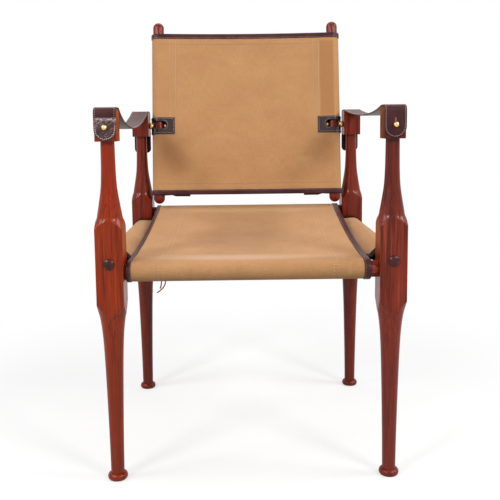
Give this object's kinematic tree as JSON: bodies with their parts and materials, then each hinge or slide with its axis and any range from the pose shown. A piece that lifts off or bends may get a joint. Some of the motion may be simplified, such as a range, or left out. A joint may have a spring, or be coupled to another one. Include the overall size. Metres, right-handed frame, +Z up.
{
  "type": "campaign chair",
  "caption": "Knock-down armchair with turned legs, round rails, crossed canvas seat slings, hanging leather strap arms and a canvas back that pivots on brass bolts.",
  "frame": {"origin": "middle of the chair's footprint box, on the floor", "axes": "+Z up, +X to the right of someone who faces the chair's front, -Y out of the chair's front"},
  "size_m": [0.542, 0.5392, 0.8769],
  "materials": {
    "leg_wood": "oiled reddish hardwood, glossy",
    "stile_wood": "oiled dark hardwood, glossy",
    "bronzed_metal": "dark brown, smooth",
    "brass": "polished",
    "leather": "dark brown bridle leather, semi-gloss",
    "canvas": "heavy tan cotton canvas",
    "lace": "round waxed lace"
  },
  "bodies": {
    "chair_frame": {"leg_front_left": "leg_wood", "side_rail_bolt_front_left": "bronzed_metal", "strap_stud_front_left": "brass", "leg_front_right": "leg_wood", "side_rail_bolt_front_right": "bronzed_metal", "strap_stud_front_right": "brass", "leg_back_left": "leg_wood", "side_rail_bolt_back_left": "bronzed_metal", "strap_stud_back_left": "brass", "leg_back_right": "leg_wood", "side_rail_bolt_back_right": "bronzed_metal", "strap_stud_back_right": "brass", "front_rail": "leg_wood", "rear_rail": "leg_wood", "side_rail_left": "leg_wood", "side_rail_right": "leg_wood", "arm_strap_left": "leather", "arm_strap_right": "leather", "seat_top_sling": "canvas", "seat_binding_left": "leather", "seat_binding_right": "leather", "seat_lower_sling": "canvas", "lower_sling_binding_front": "leather", "lower_sling_binding_rear": "leather", "seat_lace": "lace", "lace_knot_front": "lace", "lace_knot_rear": "lace", "lace_tail_long": "lace", "lace_tail_short": "lace", "pivot_bolt_left": "brass", "pivot_spacer_left": "brass", "pivot_nut_left": "brass", "pivot_bolt_right": "brass", "pivot_spacer_right": "brass", "pivot_nut_right": "brass"},
    "back": {"back_stile_left": "stile_wood", "pivot_patch_left": "leather", "back_stile_right": "stile_wood", "pivot_patch_right": "leather", "back_canvas": "canvas", "back_binding_top": "leather", "back_binding_bottom": "leather"}
  },
  "joints": [
    {"name": "back_pivot", "type": "hinge", "parent": "chair_frame", "child": "back", "pos_m": [0, 0.21688, 0.6355], "axis": [1, 0, 0], "range_deg": [-155, 150]}
  ]
}
